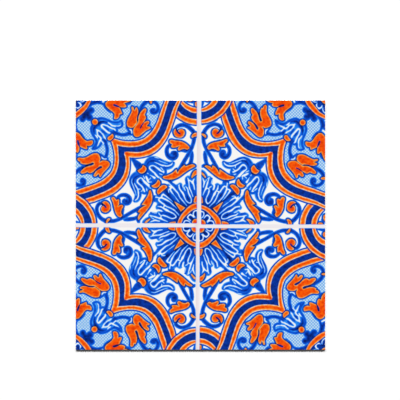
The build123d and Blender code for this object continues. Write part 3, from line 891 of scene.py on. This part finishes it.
inks["stipple"] = ramp(depthOf("stipple"), -soft, soft)
for name in ("ringLower", "band", "ringUpper"):
    paintBand(name)
heart = np.interp(np.linalg.norm(place, axis=1), brushwork["heartRadii"], brushwork["heartInk"])
addCobalt(heart * washed("washes"))
addCobalt(brushwork["paleWashInk"] * washed("paleWashes"))
addCobalt(brushwork["navyInk"] * washed("fields"))
addRim(depthOf("deep"), brushwork["deepDepths"], brushwork["deepInk"])
bareGlaze("pale")
orangeDepth = depthOf("orange")
addCobalt(body(depthOf("brush")))
addCobalt(body(orangeDepth + outlineWidth))
addRim(orangeDepth, brushwork["rimDepths"], brushwork["rimInk"])
bareGlaze("white")
inks["orange"] *= 1 - ramp(orangeDepth + outlineWidth, -soft, soft)
coverOrange(orangeDepth, *brushwork["motifTone"])
coverCobalt(depthOf("slits"), brushwork["slitInk"])
ringDepth = depthOf("rosettes")
coverCobalt(ringDepth + brushwork["ringEdge"], brushwork["rosetteInk"])
coverOrange(ringDepth, *brushwork["ringTone"])
jointFrom, jointTo = brushwork["jointEdge"]
isEdge = (at[:, 0] > jointFrom) & (at[:, 0] < jointTo)
inks["joint"] = (1 - mask) * np.where(isEdge, brushwork["jointEdgeTone"], brushwork["jointTone"])
for name in ("cobalt", "orange", "stipple"):
    inks[name] *= mask
print("inks:", {name: round(float(value.mean()), 3) for name, value in inks.items()})


# the sheet: printed face, rolled edge, cut edge and underside as one closed mesh
def outerLoop(faces):
    sides = np.vstack([faces[:, [0, 1]], faces[:, [1, 2]], faces[:, [2, 0]]])
    first, count = np.unique(np.sort(sides, axis=1), axis=0, return_index=True, return_counts=True)[1:]
    follow = dict(sides[first[count == 1]].tolist())
    loop = [next(iter(follow))]
    while follow[loop[-1]] != loop[0]:
        loop.append(follow[loop[-1]])
    return np.array(loop)


loop = outerLoop(faces)
nearest = np.clip(at[loop], -core, core)
outward = at[loop] - nearest
outward /= np.linalg.norm(outward, axis=1, keepdims=True)
thickness = tileSheet["thickness"]
roll = tileSheet["dieRoll"]
turns = np.linspace(0, np.pi / 2, tileSheet["rollSteps"] + 1)[1:]
levels = [(flatRadius + roll * np.sin(a), thickness - roll * (1 - np.cos(a))) for a in turns]
levels += [(tileSheet["cornerRadius"], tileSheet["paperHeight"]), (tileSheet["cornerRadius"], 0)]
rings = [np.c_[nearest + outward * radius, np.full(len(loop), height)] for radius, height in levels]
verts = np.vstack([np.c_[at, np.full(len(at), thickness)], *rings])
ringIndex = [loop] + [len(at) + len(loop) * i + np.arange(len(loop)) for i in range(len(levels))]
printFaces = faces.tolist()
wallFaces = []
for upper, lower in zip(ringIndex, ringIndex[1:]):
    wallFaces.append(np.c_[upper, lower, np.roll(lower, -1), np.roll(upper, -1)].tolist())
rollFaces = sum(wallFaces[:tileSheet["rollSteps"]], [])
filmFaces, paperFaces = wallFaces[-2:]
backFaces = [ringIndex[-1][::-1].tolist()]
mesh = bpy.data.meshes.new("vinyl_tile_print")
mesh.from_pydata((verts * metres).tolist(), [], printFaces + rollFaces + filmFaces + paperFaces + backFaces)
counts = [len(f) for f in (printFaces, rollFaces, filmFaces, paperFaces, backFaces)]
mesh.polygons.foreach_set("material_index", np.repeat([0, 0, 1, 2, 2], counts))
mesh.polygons.foreach_set("use_smooth", np.repeat([False, True, False, False, False], counts))
for name, value in inks.items():
    rows = np.concatenate([value] + [value[loop]] * len(levels))
    mesh.attributes.new(name, "FLOAT", "POINT").data.foreach_set("value", rows.astype(np.float32))

# bake layout: the print takes nine tenths of the square, the underside and the cut edge the rest
bakeLayout = {  # start and size
    "print": (0.01, 0.9),
    "backAcross": (0.92, 0.07),
    "wallAround": (0.01, 0.97),
    "wallUp": (0.93, 0.06),
}


def laidOut(name, share):
    start, size = bakeLayout[name]
    return start + size * share


corners = np.zeros(len(mesh.loops), np.int32)
mesh.loops.foreach_get("vertex_index", corners)
kinds = np.repeat(np.repeat(np.arange(5), counts), [len(p.vertices) for p in mesh.polygons])[:, None]
share = verts[corners, :2] / tileSheet["side"] + 0.5
height = verts[corners, 2] / thickness
around = np.tile(np.arange(len(loop)) / len(loop), len(levels))
around = np.concatenate([np.zeros(len(at)), around])[corners]
printUv = laidOut("print", share)
backUv = np.c_[laidOut("backAcross", share[:, 0]), laidOut("print", share[:, 1])]
wallUv = np.c_[laidOut("wallAround", around), laidOut("wallUp", height)]
uv = np.where(kinds < 2, printUv, np.where(kinds == 4, backUv, wallUv))
mesh.uv_layers.new(name="OFBake").data.foreach_set("uv", uv.astype(np.float32).ravel())
mesh.validate()
mesh.update()
vinylTile = bpy.data.objects.new("vinyl_tile_print", mesh)
scene.collection.objects.link(vinylTile)
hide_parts("vinyl_tile")
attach(vinylTile, "root")
print("sheet:", len(mesh.vertices), "points,", len(mesh.polygons), "faces")


def feed(tree, node, inputs):
    for socket, value in inputs.items():
        if isinstance(value, bpy.types.NodeSocket):
            tree.links.new(value, node.inputs[socket])
        else:
            node.inputs[socket].default_value = value


# adds one node with its settings, inputs and links; stops are the colours of a ramp
def addNode(tree, kind, inputs=None, stops=None, **settings):
    node = tree.nodes.new(kind)
    for name, value in settings.items():
        setattr(node, name, value)
    feed(tree, node, inputs or {})
    if stops:
        elements = node.color_ramp.elements
        while len(elements) < len(stops):
            elements.new(1)
        for element, (position, colour) in zip(elements, stops):
            element.position = position
            element.color = linear(colour)
    return node


def newMaterial(name):
    material = bpy.data.materials.new(name)
    material.use_nodes = True
    tree = material.node_tree
    tree.nodes.clear()
    shader = addNode(tree, "ShaderNodeBsdfPrincipled")
    addNode(tree, "ShaderNodeOutputMaterial", {"Surface": shader.outputs["BSDF"]})
    position = addNode(tree, "ShaderNodeTexCoord").outputs["Object"]
    return material, tree, shader, position


perMetre = 1 / metres
colourMix = {"data_type": "RGBA"}

# printed PVC film under a satin laminate: full colour inks, with the soft mottle of brushed glaze
printedFilm = {
    "jointStops": [(0, "#FCFAF8"), (0.5, "#F2EDF1"), (1, "#E4D0D2")],    # bare glaze, joint, its left edge
    "stippleStops": [(0.25, "#64A5EA"), (0.75, "#CAE7FA")],
    "stipplePitch": 1.296,  # mm from row to row of the hatch, drawn coarser than the real dots to show
    "cobaltStops": [(0, "#DAEFFC"), (0.1, "#A8DAFB"), (0.25, "#54AFFA"), (0.4, "#2085F3"), (0.55, "#0A60E2"),
                    (0.7, "#044CCC"), (0.82, "#0238A6"), (0.92, "#01247A"), (1, "#000F42")],
    "cobaltCover": 4,       # the thinnest cobalt runs out over the first quarter of its scale
    "orangeStops": [(0, "#FFEEDC"), (0.2, "#FFBC68"), (0.45, "#FF9020"), (0.7, "#FF6C04"), (0.88, "#FA5200"),
                    (1, "#E03C00")],
    "mottle": 1.9,          # mm across a darker patch of ink
    "cobaltMottle": 0.4,    # how far the mottle moves the ink along its scale
    "orangeMottle": 0.9,
    "orangePeel": 0.9,      # mm across a ripple of the laminate
    "peelDepth": 0.05,      # mm
    "peelStrength": 0.06,
    "roughness": 0.25,
    "ior": 1.53,
}
film, tree, shader, position = newMaterial("printed_pvc_film_satin_laminate")
ink = {name: addNode(tree, "ShaderNodeAttribute", attribute_name=name).outputs["Fac"] for name in inkNames}
mottle = addNode(tree, "ShaderNodeTexNoise", {
    "Vector": position,
    "Scale": perMetre / printedFilm["mottle"],
    "Detail": 3.0,
    "Roughness": 0.6,
}).outputs["Fac"]
spread = addNode(tree, "ShaderNodeMath", {0: mottle, 1: 0.5}, operation="SUBTRACT").outputs[0]
inkColour = {}
for name, scale in (("cobalt", "cobalt"), ("orange", "tone")):
    moved = {0: spread, 1: printedFilm[name + "Mottle"], 2: ink[scale]}
    tone = addNode(tree, "ShaderNodeMath", moved, operation="MULTIPLY_ADD").outputs[0]
    scaleNode = addNode(tree, "ShaderNodeValToRGB", {"Fac": tone}, printedFilm[name + "Stops"])
    inkColour[name] = scaleNode.outputs[0]
turned = addNode(tree, "ShaderNodeMapping", {"Vector": position, "Rotation": (0, 0, np.pi / 4)}).outputs[0]
waveScale = perMetre / printedFilm["stipplePitch"] * np.pi / 10
rows = {"Vector": turned, "Scale": waveScale}
waves = [addNode(tree, "ShaderNodeTexWave", rows, bands_direction=way).outputs["Fac"] for way in "XY"]
crossed = addNode(tree, "ShaderNodeMath", {0: waves[0], 1: waves[1]}, operation="ADD").outputs[0]
crossed = addNode(tree, "ShaderNodeMath", {0: crossed, 1: 0.5}, operation="MULTIPLY").outputs[0]
hatch = addNode(tree, "ShaderNodeValToRGB", {"Fac": crossed}, printedFilm["stippleStops"]).outputs[0]
colour = addNode(tree, "ShaderNodeValToRGB", {"Fac": ink["joint"]}, printedFilm["jointStops"]).outputs[0]
colour = addNode(tree, "ShaderNodeMix", {0: ink["stipple"], 6: colour, 7: hatch}, **colourMix).outputs[2]
thin = {0: ink["cobalt"], 1: printedFilm["cobaltCover"]}
cover = addNode(tree, "ShaderNodeMath", thin, operation="MULTIPLY", use_clamp=True).outputs[0]
for share, name in ((cover, "cobalt"), (ink["orange"], "orange")):
    layers = {0: share, 6: colour, 7: inkColour[name]}
    colour = addNode(tree, "ShaderNodeMix", layers, **colourMix).outputs[2]
ripple = addNode(tree, "ShaderNodeTexNoise", {
    "Vector": position,
    "Scale": perMetre / printedFilm["orangePeel"],
    "Detail": 2.0,
}).outputs["Fac"]
bump = addNode(tree, "ShaderNodeBump", {
    "Height": ripple,
    "Strength": printedFilm["peelStrength"],
    "Distance": printedFilm["peelDepth"] * metres,
})
feed(tree, shader, {
    "Base Color": colour,
    "Normal": bump.outputs[0],
    "Roughness": printedFilm["roughness"],
    "IOR": printedFilm["ior"],
})

# the film's own white PVC, bared by the die
cutEdge = {"colour": "#F2F1EE", "roughness": 0.5, "ior": 1.53, "grain": 0.08, "depth": 0.02, "strength": 0.2}
filmEdge, tree, shader, position = newMaterial("white_pvc_die_cut")
grain = addNode(tree, "ShaderNodeTexNoise", {
    "Vector": position, "Scale": perMetre / cutEdge["grain"]}).outputs["Fac"]
bump = addNode(tree, "ShaderNodeBump", {
    "Height": grain,
    "Strength": cutEdge["strength"],
    "Distance": cutEdge["depth"] * metres,
})
feed(tree, shader, {
    "Base Color": linear(cutEdge["colour"]),
    "Normal": bump.outputs[0],
    "Roughness": cutEdge["roughness"],
    "IOR": cutEdge["ior"],
})

# silicone coated kraft paper: smooth, with a faint cloud of fibres
backing = {
    "stops": [(0.35, "#E6E1D5"), (0.65, "#F1EEE6")],
    "fibre": 2.5,           # mm across a cloud
    "depth": 0.03,          # mm
    "strength": 0.15,
    "roughness": 0.55,
    "ior": 1.47,
}
backingPaper, tree, shader, position = newMaterial("bleached_kraft_silicone_coated")
cloud = addNode(tree, "ShaderNodeTexNoise", {
    "Vector": position,
    "Scale": perMetre / backing["fibre"],
    "Detail": 6.0,
    "Roughness": 0.7,
}).outputs["Fac"]
paper = addNode(tree, "ShaderNodeValToRGB", {"Fac": cloud}, backing["stops"])
bump = addNode(tree, "ShaderNodeBump", {
    "Height": cloud,
    "Strength": backing["strength"],
    "Distance": backing["depth"] * metres,
})
feed(tree, shader, {
    "Base Color": paper.outputs[0],
    "Normal": bump.outputs[0],
    "Roughness": backing["roughness"],
    "IOR": backing["ior"],
})
for material in (film, filmEdge, backingPaper):
    mesh.materials.append(material)
print("materials:", [m.name for m in mesh.materials])

# white studio floor, which keeps the sheet's shadow
studio = {
    "floorSize": 8.0,
    "floorColour": "#FFFFFF",
    "floorDrop": 0.01,      # mm under the sheet
    "lift": 0.03,           # added for what the camera sees, so that the bare floor is white
    "world": 0.04,
    "suns": [               # azimuth from +Y clockwise, height over the horizon, share of the light, angle
        (0, 14, 0.56, 8),
        (-30, 12, 0.2, 8),
        (30, 12, 0.2, 8),
    ],
}
floorMesh = bpy.data.meshes.new("floor")
reach = studio["floorSize"] / 2
floorCorners = [(-reach, -reach, 0), (reach, -reach, 0), (reach, reach, 0), (-reach, reach, 0)]
floorMesh.from_pydata(floorCorners, [], [(0, 1, 2, 3)])
floor = bpy.data.objects.new("floor", floorMesh)
floor.location.z = tileLow.z - studio["floorDrop"] * metres
scene.collection.objects.link(floor)
floor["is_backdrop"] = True
floorPaint, tree, shader, position = newMaterial("matt_white_floor_paint")
path = addNode(tree, "ShaderNodeLightPath").outputs
seen = path["Is Camera Ray"]
for ray in ("Is Glossy Ray", "Is Transmission Ray"):
    seen = addNode(tree, "ShaderNodeMath", {0: seen, 1: path[ray]}, operation="MAXIMUM").outputs[0]
glow = addNode(tree, "ShaderNodeMath", {0: seen, 1: studio["lift"]}, operation="MULTIPLY")
feed(tree, shader, {
    "Base Color": linear(studio["floorColour"]),
    "Roughness": 1,
    "Specular IOR Level": 0,
    "Emission Color": (1, 1, 1, 1),
    "Emission Strength": glow.outputs[0],
})
floorMesh.materials.append(floorPaint)

world = bpy.data.worlds.new("studio")
scene.world = world
world.use_nodes = True
tree = world.node_tree
tree.nodes.clear()
path = addNode(tree, "ShaderNodeLightPath").outputs
level = addNode(tree, "ShaderNodeMapRange", {
    "Value": path["Is Camera Ray"], "To Min": studio["world"], "To Max": 1.0}).outputs[0]
sky = addNode(tree, "ShaderNodeBackground", {"Color": (1, 1, 1, 1), "Strength": level})
addNode(tree, "ShaderNodeOutputWorld", {"Surface": sky.outputs[0]})
for azimuth, elevation, share, angle in studio["suns"]:
    a, e = np.radians(azimuth), np.radians(elevation)
    lamp = bpy.data.lights.new("sun", "SUN")
    lamp.energy = share * np.pi / np.sin(e)
    lamp.angle = np.radians(angle)
    sun = bpy.data.objects.new("sun", lamp)
    towards = Vector((np.sin(a) * np.cos(e), np.cos(a) * np.cos(e), np.sin(e)))
    sun.rotation_euler = towards.to_track_quat("Z", "Y").to_euler()
    scene.collection.objects.link(sun)
print("studio:", len(studio["suns"]), "lamps")

# the camera looks straight down, placed from where the sheet lies in the picture
pictureView = {"picturePx": 400, "sheetPx": (75.75, 100.25, 325.25, 349.75), "lens": 100, "sensor": 36}
left, top, right, bottom = pictureView["sheetPx"]
pxSize = tileSheet["side"] * metres / (right - left)
middle = pictureView["picturePx"] / 2
camera = bpy.data.objects.new("camera", bpy.data.cameras.new("camera"))
camera.data.lens = pictureView["lens"]
camera.data.sensor_width = pictureView["sensor"]
camera.location = (
    (middle - (left + right) / 2) * pxSize,
    ((top + bottom) / 2 - middle) * pxSize,
    tileHigh.z + pictureView["picturePx"] * pxSize * pictureView["lens"] / pictureView["sensor"],
)
scene.collection.objects.link(camera)
scene.camera = camera
print("camera at", [round(x, 4) for x in camera.location])

low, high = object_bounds()
